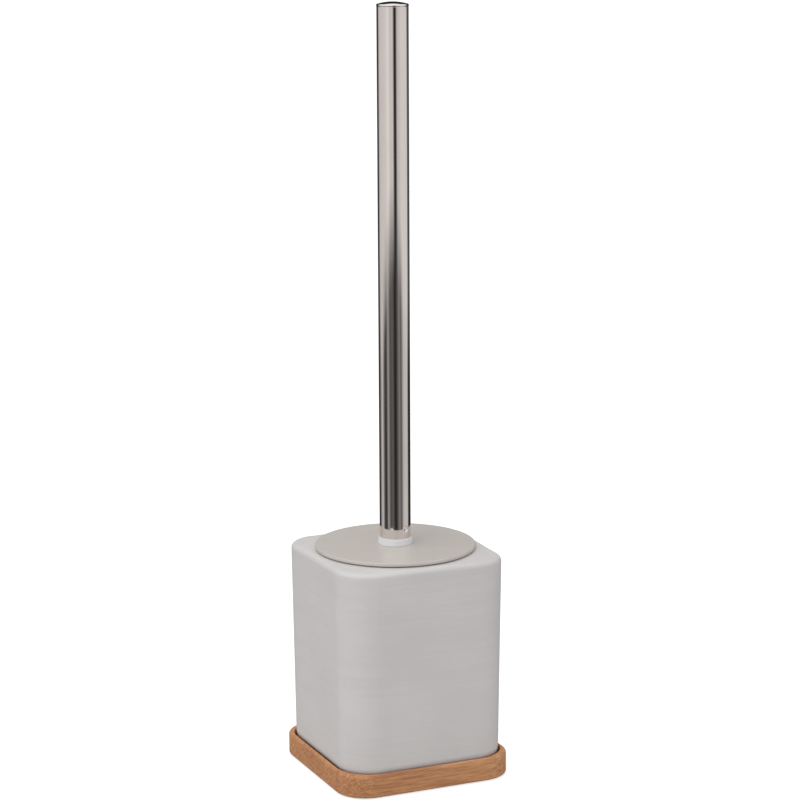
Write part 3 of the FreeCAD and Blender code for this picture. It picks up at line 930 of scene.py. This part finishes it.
def tuft_lines():
    """For each bristle node its tufts, in metres: base points, directions and tip distances, and
    how wide a tuft is at its tip.

    Each row is a star of level tufts, turned by half a step from the row above it. The nose's tufts
    start from one point, and their tips lie on an ellipsoid as wide as the rows.
    """
    groups = {}
    half, nose_depth, nose_centre = 32.5 * MM, 20 * MM, 45.4 * MM
    first, pitch, in_row = 94.4 * MM, 7.5 * MM, 12
    row_tip_radius, nose_tip_radius = 4.0 * MM, 3.2 * MM
    nose_rings = ((0.0, 1), (38.0, 6), (70.0, 10))  # (degrees from straight down, tufts)
    for row, node in enumerate(BRISTLE_ROWS):
        bearings = FULL_TURN * (np.arange(in_row) + 0.5 * (row % 2)) / in_row
        ways = np.stack([np.cos(bearings), np.sin(bearings), 0 * bearings], -1)
        starts = np.tile([0, 0, first - row * pitch], (in_row, 1))
        groups[node] = (starts, ways, np.full(in_row, half), row_tip_radius)
    ways, tips = [], []
    for tilt, count in nose_rings:
        angle = math.radians(tilt)
        bearings = FULL_TURN * np.arange(count) / count
        side = math.sin(angle)
        down = np.full(count, -math.cos(angle))
        ways.append(np.stack([side * np.cos(bearings), side * np.sin(bearings), down], -1))
        tips.append(np.full(count, 1 / math.hypot(side / half, math.cos(angle) / nose_depth)))
    ways = np.concatenate(ways)
    starts = np.tile([0, 0, nose_centre], (len(ways), 1))
    groups["bristle_nose"] = (starts, ways, np.concatenate(tips), nose_tip_radius)
    return groups


def filament_tuft_mesh(name, lines, count, thickness, random):
    """Tufts of thin three-sided filaments.

    A filament starts at a random place in its tuft's root disc, ends at the matching place in the
    tip disc with a little scatter, and bows between the two by a half sine. Its section is a
    triangle that narrows slightly to the tip.
    """
    starts, ways, tips, tip_radius = lines
    root, root_radius, rings = 8.2 * MM, 0.85 * MM, 6
    gather, scatter_share, widest = 0.93, 0.06, 0.94  # shares of the tip disc's radius
    bow_share, shortest_by, taper = 0.035, 0.035, 0.25
    tufts = len(ways)
    helper = np.where(np.abs(ways[:, 2:]) < 0.9, [[0.0, 0.0, 1.0]], [[1.0, 0.0, 0.0]])
    side = unit(np.cross(ways, helper))
    other = np.cross(ways, side)
    spin = random.uniform(0, FULL_TURN, (tufts, count, 1))
    share = np.sqrt(random.uniform(0, 1, (tufts, count, 1)))
    scatter = random.normal(0, scatter_share, (tufts, count, 2))
    disc = np.concatenate([np.cos(spin), np.sin(spin)], -1) * share
    tip_disc = np.clip(disc * gather + scatter, -widest, widest)
    off_centre = np.linalg.norm(tip_disc, axis=-1, keepdims=True)
    tip_disc *= np.minimum(1, widest / np.maximum(off_centre, TINY))
    length = (tips - root)[:, None] * (1 - random.uniform(0, shortest_by, (tufts, count)))
    bow = random.normal(0, bow_share, (tufts, count, 2)) * tip_radius
    t = np.linspace(0, 1, rings)[None, None, :, None]
    plan = (
        disc[:, :, None] * root_radius * (1 - t)
        + tip_disc[:, :, None] * tip_radius * t
        + bow[:, :, None] * np.sin(np.pi * t)
    )
    # The outer filaments lean out, so they are cut shorter and the tips lie on one round face.
    lean = np.sum((tip_disc * tip_radius) ** 2, -1) / (2 * tips[:, None])
    along = root + (length - lean)[:, :, None, None] * t
    frame_axes = (side[:, None, None], other[:, None, None], ways[:, None, None])
    line = plan[..., :1] * frame_axes[0] + plan[..., 1:] * frame_axes[1] + along * frame_axes[2]
    line = line + starts[:, None, None]
    turn = np.arange(3) * FULL_TURN / 3
    size = 0.5 * thickness * (1 - taper * t[..., None])
    ring = (
        np.cos(turn)[:, None] * frame_axes[0][..., None, :]
        + np.sin(turn)[:, None] * frame_axes[1][..., None, :]
    )
    points = (line[..., None, :] + size * ring).reshape(-1, 3)
    ends = tufts * count
    first = (np.arange(ends) * rings * 3)[:, None, None]
    step = (np.arange(rings - 1) * 3)[None, :, None]
    here = np.arange(3)[None, None, :]
    after = (here + 1) % 3
    quad = (here, after, after + 3, here + 3)
    sides = np.stack([first + step + k for k in quad], -1).reshape(-1, 4)
    roots = (np.arange(ends) * rings * 3)[:, None] + np.array([0, 2, 1])
    caps = (np.arange(ends) * rings * 3 + (rings - 1) * 3)[:, None] + np.array([0, 1, 2])
    mesh = new_mesh(name, points, sides.tolist() + roots.tolist() + caps.tolist())
    # The share of the way from root to tip; the filaments' material turns it into painted shade at
    # the roots and a painted glow at the tips.
    value = np.broadcast_to(t[..., None], (tufts, count, rings, 3, 1)).reshape(-1)
    along_root = mesh.attributes.new("along", "FLOAT", "POINT").data
    along_root.foreach_set("value", value.astype(np.float32))
    smooth = np.arange(len(mesh.polygons)) < len(sides)
    mesh.polygons.foreach_set("use_smooth", smooth)
    return mesh


class BRUSH_OT_core(bpy.types.Operator):
    """Build the brush core: threaded stud, shoulder, neck and the round-nosed body"""

    bl_idname = "brush.core"
    bl_label = "Brush core"

    def execute(self, context):
        settings = context.scene.brush_head
        nose, tip = low("brush_core"), high("brush_core")
        under = high("ceramic_pot")
        body, neck, shoulder = 12.0 * MM, 7.0 * MM, 9.0 * MM
        core_top = under - 16.0 * MM
        stud, root = 4.96 * MM, 4.15 * MM
        levels = np.linspace(under + 0.3 * MM, tip - 1.2 * MM, 150)
        outline = softened(
            [
                (0, nose, 0),
                (body, nose, body - 0.6 * MM),
                (body, core_top - 2.0 * MM, 1.5 * MM),
                (neck, core_top, 1.5 * MM),
                (neck, under - 3.0 * MM, 1.0 * MM),
                (shoulder, under - 3.0 * MM, 0.5 * MM),
                (shoulder, under, 0.4 * MM),
                (stud, under, 0),
                *[(stud, z, 0) for z in levels],
                (stud, tip, 0.7 * MM),
                (0, tip, 0),
            ]
        )
        bearings = all_round(96)
        points = turned(outline, bearings)
        # On the stud the radius drops from crest to root where the helix's wave is low.
        height = points[..., 2]
        phase = height / settings.thread_pitch - bearings / FULL_TURN
        drop = (stud - root) * (1 - thread_wave(phase))
        drop *= smooth_step(under + 2.5 * MM, under + 4.0 * MM, height)
        on_stud = (outline[:, 1] > under + 0.2 * MM) & (outline[:, 0] > 0.5 * stud)
        points[..., :2] *= (1 - on_stud[:, None] * drop / stud)[..., None]
        core = closed_skin("core_body", points)
        finish_piece(core, white_plastic(), "head", "white_plastic", "brush_core")
        return {"FINISHED"}


class BRUSH_OT_bristles(bpy.types.Operator):
    """Fill each tuft of the brush with filaments, row by row and on the nose"""

    bl_idname = "brush.bristles"
    bl_label = "Bristles"

    def execute(self, context):
        settings = context.scene.brush_head
        random = np.random.default_rng(7)
        nylon = filament_finish((0.86, 0.87, 0.86))
        for node, lines in tuft_lines().items():
            name = node.replace("bristle", "filaments")
            mesh = filament_tuft_mesh(name, lines, settings.filaments, settings.thickness, random)
            finish_piece(new_object(name, mesh), nylon, "head", "bristle", node)
        return {"FINISHED"}


# ---- stage


# What the polished steel mirrors, as (bearing in degrees to the right of the camera, brightness).
# High up stand pale panels with one dark gap; below them lies the darker front of the studio,
# with a few pale strips.
HIGH_PANELS = [
    (-180, 0.5), (-155, 0.03), (-130, 0.05), (-115, 0.65), (-60, 0.72), (-35, 0.86), (-20, 0.66),
    (-3, 0.7), (8, 0.03), (20, 0.03), (30, 0.6), (60, 0.76), (112, 0.74), (122, 0.12),
    (155, 0.04), (180, 0.5),
]
LOW_PANELS = [
    (-180, 0.5), (-155, 0.02), (-130, 0.05), (-100, 0.65), (-88, 0.3), (-76, 0.05), (-60, 0.05),
    (-48, 0.38), (-30, 0.08), (-15, 0.13), (6, 0.01), (20, 0.08), (36, 0.25), (50, 0.1),
    (70, 0.6), (105, 0.65), (118, 0.03), (155, 0.02), (180, 0.5),
]


def panel_ramp(tree, place, panels):
    """A colour ramp round the horizon from a list of (bearing, brightness)."""
    ramp = add(tree, "ShaderNodeValToRGB", {"Fac": place})
    stops = ramp.color_ramp.elements
    stops.remove(stops[1])
    for k, (bearing, brightness) in enumerate(panels):
        where = (bearing + 180) / 360
        stop = stops[0] if k == 0 else stops.new(where)
        stop.position = where
        stop.color = (brightness, 0.985 * brightness, 0.965 * brightness, 1)
    return ramp.outputs["Color"]


def level_ways(bearing):
    """Level unit directions: towards the camera, and to the right as the camera sees it."""
    towards = np.array([-math.sin(bearing), -math.cos(bearing), 0.0])
    right = np.array([math.cos(bearing), -math.sin(bearing), 0.0])
    return towards, right


def studio_world(context, settings):
    """Even pale light for rough surfaces, and a ring of pale and dark panels for mirrors."""
    world = bpy.data.worlds.new("Studio")
    context.scene.world = world
    world.use_nodes = True
    tree = world.node_tree
    tree.nodes.clear()
    towards = add(tree, "ShaderNodeTexCoord").outputs["Generated"]
    camera_way, right_way = level_ways(settings.bearing)

    def share(way):
        inputs = {0: towards, 1: tuple(way)}
        node = add(tree, "ShaderNodeVectorMath", inputs, operation="DOT_PRODUCT")
        return node.outputs["Value"]

    angle = maths(tree, "ARCTAN2", share(right_way), share(camera_way))
    place = maths(tree, "ADD", maths(tree, "DIVIDE", angle, FULL_TURN), 0.5)
    height = add(tree, "ShaderNodeSeparateXYZ", {0: towards}).outputs["Z"]
    # The two rings meet along an arch: the dark front stands tallest behind the camera.
    arch = span(tree, share(camera_way), 0.0, 1.0, -0.16, -0.12)
    drop = maths(tree, "SUBTRACT", height, arch)
    rings = [panel_ramp(tree, place, each) for each in (HIGH_PANELS, LOW_PANELS)]
    panels = mixed(tree, span(tree, drop, 0.0, -0.035), *rings)
    overhead = mixed(tree, span(tree, height, 0.05, 0.5), panels, colour(1.1, 1.1, 1.1))
    # Behind the object and just above the horizon hangs a dark cloth, which the domed cap mirrors.
    cloth = times(tree, span(tree, height, 0.0, 0.05), span(tree, height, 0.54, 0.48))
    cloth = times(tree, cloth, span(tree, share(camera_way), -0.05, -0.3))
    mirrored = mixed(tree, cloth, overhead, colour(0.02, 0.019, 0.018))
    path = add(tree, "ShaderNodeLightPath").outputs
    # Seen past the floor the studio is plain white; on rough surfaces it is the soft light.
    strength = span(tree, path["Is Camera Ray"], 0.0, 1.0, settings.soft_light, 1.0)
    even = colour(1.0, 1.0, 1.0)
    soft = add(tree, "ShaderNodeBackground", {"Color": even, "Strength": strength})
    mirror = add(tree, "ShaderNodeBackground", {"Color": mirrored, "Strength": 1.0})
    both = {0: path["Is Glossy Ray"], 1: soft.outputs[0], 2: mirror.outputs[0]}
    choice = add(tree, "ShaderNodeMixShader", both)
    add(tree, "ShaderNodeOutputWorld", {"Surface": choice.outputs[0]})


def floor_finish():
    """A pale matt floor that shows almost white to the eye and lights the object as a mid tone."""
    material, tree, shader, at = new_material("Pale floor", Roughness=0.9)
    shade = span(tree, noise(tree, at, 6.0, 2.0), 0.3, 0.7, 0.65, 0.67)
    tone = add(tree, "ShaderNodeCombineColor", {0: shade, 1: shade, 2: shade}).outputs[0]
    tree.links.new(tone, shader.inputs["Base Color"])
    shader.inputs["Specular IOR Level"].default_value = 0.0
    glow = add(tree, "ShaderNodeEmission", {"Color": colour(1, 1, 1), "Strength": 0.66})
    both = add(tree, "ShaderNodeAddShader", {0: shader.outputs[0], 1: glow.outputs[0]})
    seen = add(tree, "ShaderNodeLightPath").outputs["Is Camera Ray"]
    choice = add(tree, "ShaderNodeMixShader", {0: seen, 1: shader.outputs[0], 2: both.outputs[0]})
    tree.links.new(choice.outputs[0], tree.nodes["Material Output"].inputs["Surface"])
    return material


def add_light(name, place, target, size, power, tone):
    """A square soft light at a place, aimed at a target, that mirrors don't show."""
    data = bpy.data.lights.new(name, "AREA")
    data.shape = "SQUARE"
    data.size = size
    data.energy = power
    data.color = tone
    light = new_object(name, data)
    aim_at(light, place, target)
    light.visible_glossy = False
    light.visible_camera = False
    return light


def aim_at(thing, place, target, roll=0.0):
    """Puts a light or camera at a place, looking at a target, rolled clockwise from upright."""
    way = unit(np.array(target, float) - np.array(place, float))
    side = unit(np.cross(way, [0.0, 0.0, 1.0]))
    up = np.cross(side, way)
    cosine, sine = math.cos(roll), math.sin(roll)
    side, up = side * cosine - up * sine, side * sine + up * cosine
    turn = np.eye(4)
    turn[:3, 0], turn[:3, 1], turn[:3, 2], turn[:3, 3] = side, up, -way, place
    thing.matrix_world = turn.T.tolist()


class BRUSH_OT_stage(bpy.types.Operator):
    """Set the floor, the soft studio light and the camera"""

    bl_idname = "brush.stage"
    bl_label = "Studio stage"

    def execute(self, context):
        settings = context.scene.brush_stage
        studio_world(context, settings)
        reach = 12.0
        spots = [(-reach, -reach, 0), (reach, -reach, 0), (reach, reach, 0), (-reach, reach, 0)]
        floor = new_object("studio_floor", new_mesh("studio_floor", spots, [(0, 1, 2, 3)]))
        floor.data.materials.append(floor_finish())
        floor.visible_glossy = False

        middle = (0, 0, 0.12)
        camera_way, right_way = level_ways(settings.bearing)
        overhead = 0.25 * camera_way - 0.35 * right_way + np.array([0, 0, 1.5])
        warm_white = (1.0, 0.99, 0.98)
        add_light("overhead_light", overhead, middle, size=1.0, power=5.2, tone=warm_white)
        side = 0.9 * camera_way - 0.7 * right_way + np.array([0, 0, 0.45])
        add_light("side_light", side, middle, size=0.7, power=1.4, tone=warm_white)

        data = bpy.data.cameras.new("camera")
        camera = new_object("camera", data)
        place = camera_way * settings.distance + np.array([0, 0, settings.height])
        drop = settings.distance * math.tan(settings.tilt)
        aim_at(camera, place, (0, 0, settings.height - drop), settings.roll)
        data.sensor_width = 36.0
        data.lens = 118.0
        data.shift_x = 0.0067
        data.shift_y = 0.02704
        data.clip_start = 0.01
        data.clip_end = 60.0
        context.scene.camera = camera
        context.scene.view_settings.view_transform = "Standard"
        return {"FINISHED"}


# ---- panel and registration


SETTINGS = {
    "brush_tray": TraySettings,
    "brush_pot": PotSettings,
    "brush_lid": LidSettings,
    "brush_handle": HandleSettings,
    "brush_head": HeadSettings,
    "brush_stage": StageSettings,
}
BUILD_ORDER = (
    (BRUSH_OT_tray, "brush_tray"),
    (BRUSH_OT_pot, "brush_pot"),
    (BRUSH_OT_lid, "brush_lid"),
    (BRUSH_OT_handle, "brush_handle"),
    (BRUSH_OT_core, "brush_head"),
    (BRUSH_OT_bristles, "brush_head"),
    (BRUSH_OT_stage, "brush_stage"),
)


class BRUSH_PT_sidebar(bpy.types.Panel):
    """The brush's pieces, each with its sizes and colours"""

    bl_idname = "BRUSH_PT_sidebar"
    bl_label = "Toilet brush and pot"
    bl_space_type = "VIEW_3D"
    bl_region_type = "UI"
    bl_category = "Brush"

    def draw(self, context):
        shown = set()
        for operator, settings_name in BUILD_ORDER:
            box = self.layout.box()
            box.operator(operator.bl_idname)
            if settings_name in shown:
                continue
            shown.add(settings_name)
            for name in SETTINGS[settings_name].__annotations__:
                box.prop(getattr(context.scene, settings_name), name)


CLASSES = (*SETTINGS.values(), *(operator for operator, _ in BUILD_ORDER), BRUSH_PT_sidebar)


def register():
    for each in CLASSES:
        bpy.utils.register_class(each)
    for name, group in SETTINGS.items():
        setattr(bpy.types.Scene, name, bpy.props.PointerProperty(type=group))


def unregister():
    for name in SETTINGS:
        delattr(bpy.types.Scene, name)
    for each in reversed(CLASSES):
        bpy.utils.unregister_class(each)


def main():
    """Registers the add-on and builds every piece in order."""
    register()
    for operator, _ in BUILD_ORDER:
        group, name = operator.bl_idname.split(".")
        getattr(getattr(bpy.ops, group), name)()


if __name__ == "__main__":
    main()
